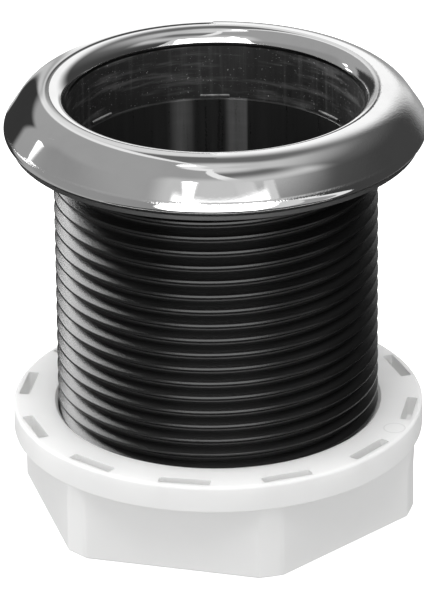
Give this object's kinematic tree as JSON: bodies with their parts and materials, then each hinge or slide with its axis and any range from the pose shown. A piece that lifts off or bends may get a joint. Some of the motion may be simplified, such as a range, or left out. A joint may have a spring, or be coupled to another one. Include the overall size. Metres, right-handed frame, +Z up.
{
  "type": "thru hull fitting",
  "caption": "Straight threaded barrel with a polished steel trim cap over its flange, a sealing ring and a white lock nut, for carrying water or a drain through a hull.",
  "frame": {"origin": "centre of the face it stands on: the free end of the barrel and the underside of the nut", "axes": "+Z up along the barrel towards the flange; -Y is the side seen from the front"},
  "size_m": [0.062, 0.062, 0.0658],
  "materials": {
    "black_nylon": "moulded glass-filled nylon, satin black",
    "polished_steel": "pressed stainless sheet, mirror polished",
    "black_rubber": "soft black sealing rubber, matte",
    "white_nylon": "natural white nylon, slightly translucent, smooth"
  },
  "bodies": {
    "fitting": {"threaded_body": "black_nylon", "trim_cap": "polished_steel"},
    "seal": {"flange_gasket": "black_rubber"},
    "nut": {"lock_nut": "white_nylon"}
  },
  "joints": [
    {"name": "nut_turn", "type": "hinge", "parent": "fitting", "child": "seal", "pos_m": [0, 0, 0], "axis": [0, 0, 1], "range_deg": [0, 6480]},
    {"name": "nut_travel", "type": "slide", "parent": "seal", "child": "nut", "axis": [0, 0, 1], "range_m": [0, 0.04156]}
  ],
  "couplings": [
    {"joint": "nut_turn", "follows": "nut_travel", "rad_per_m": 2721.2}
  ]
}
